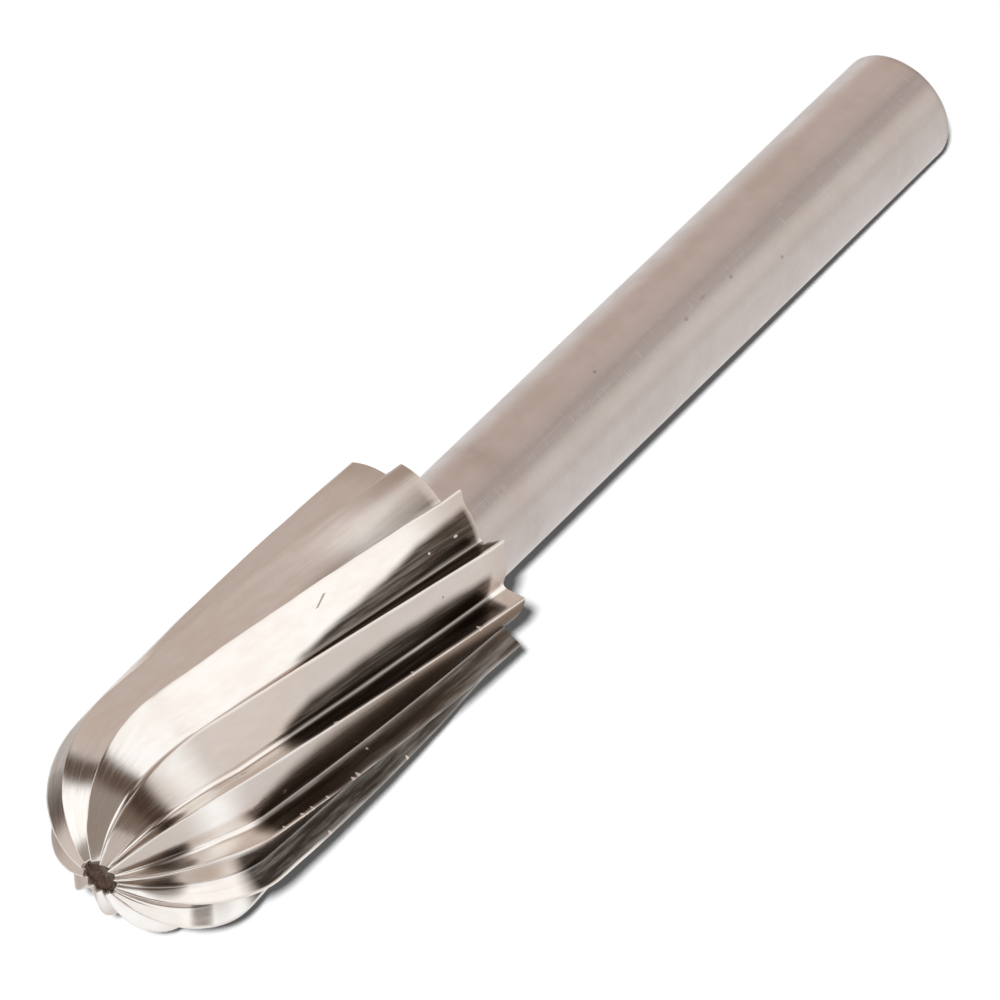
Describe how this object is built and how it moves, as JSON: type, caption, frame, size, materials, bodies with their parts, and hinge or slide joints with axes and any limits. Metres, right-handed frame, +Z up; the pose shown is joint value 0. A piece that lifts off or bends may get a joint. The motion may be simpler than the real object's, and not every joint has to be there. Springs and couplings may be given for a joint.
{
  "type": "rotary burr",
  "caption": "Rotary burr with a helically fluted cylindrical head, a rounded nose and a plain straight shank.",
  "frame": {"origin": "on the floor, under the middle of the box round the burr as it lies at rest", "axes": "+Z up; the burr's axis lies along X, nose towards +X and raised by about 3.9 degrees, shank towards -X"},
  "size_m": [0.065, 0.0118, 0.0127],
  "materials": {
    "burr": "polished on the head, satin on the shank"
  },
  "bodies": {
    "root": {"rotary_burr": "burr"}
  },
  "joints": []
}
